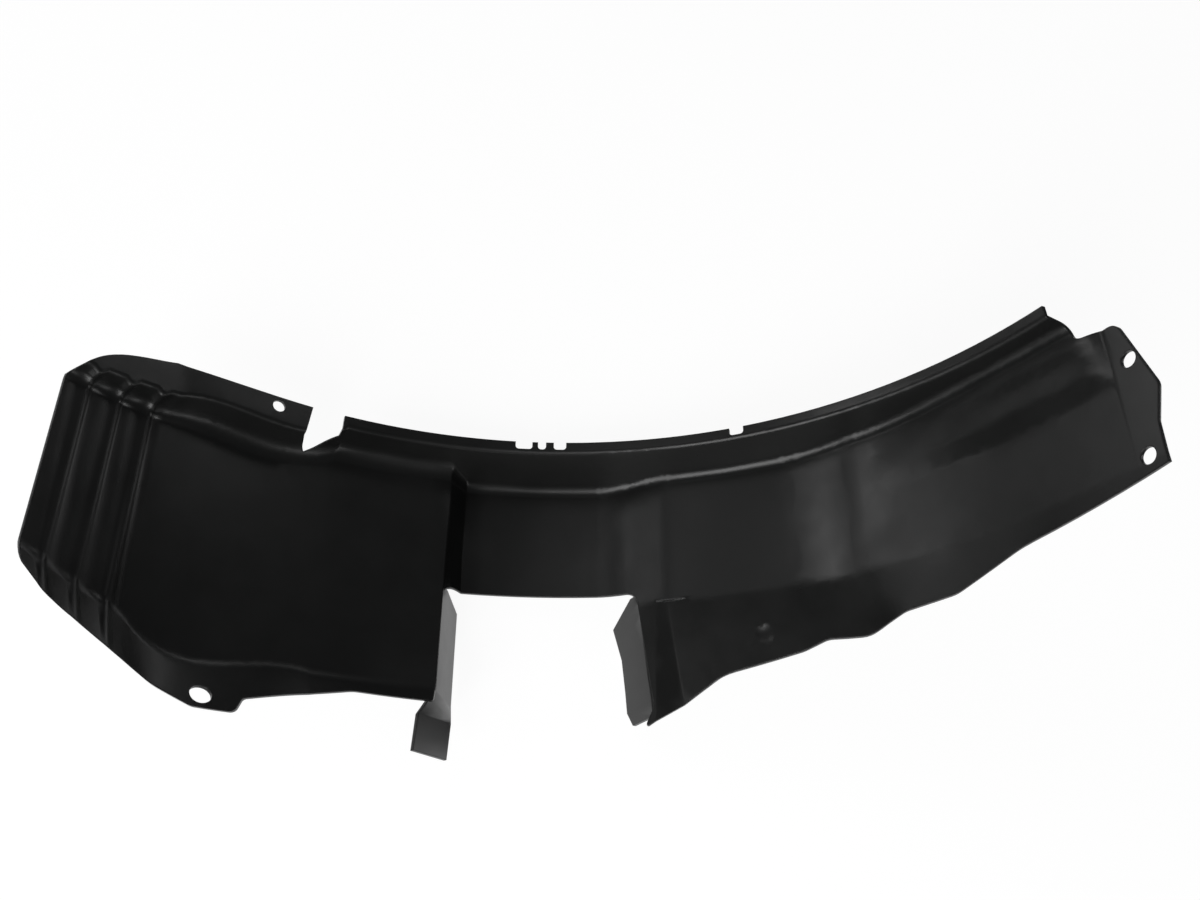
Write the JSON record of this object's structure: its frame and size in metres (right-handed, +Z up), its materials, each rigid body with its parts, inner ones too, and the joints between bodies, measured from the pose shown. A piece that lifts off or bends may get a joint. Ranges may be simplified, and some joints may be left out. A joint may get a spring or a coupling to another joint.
{
  "type": "wheel arch liner",
  "caption": "Black moulded wheel arch liner: thin curved shell with outer lip, stepped strut recess and flanged cut-out, ribbed nose and fixing holes, shielding a car's wheel well.",
  "frame": {"origin": "centre of the bounding box's base, on the floor the liner lies on", "axes": "+Z up as the liner lies at rest with its wheel side upwards, +X along the arch towards the rear of the car, +Y towards the outside of the car"},
  "size_m": [0.6462, 0.2668, 0.2933],
  "materials": {
    "liner": "fine-grained semi-matte black polypropylene"
  },
  "bodies": {
    "root": {"liner": "liner"}
  },
  "joints": []
}
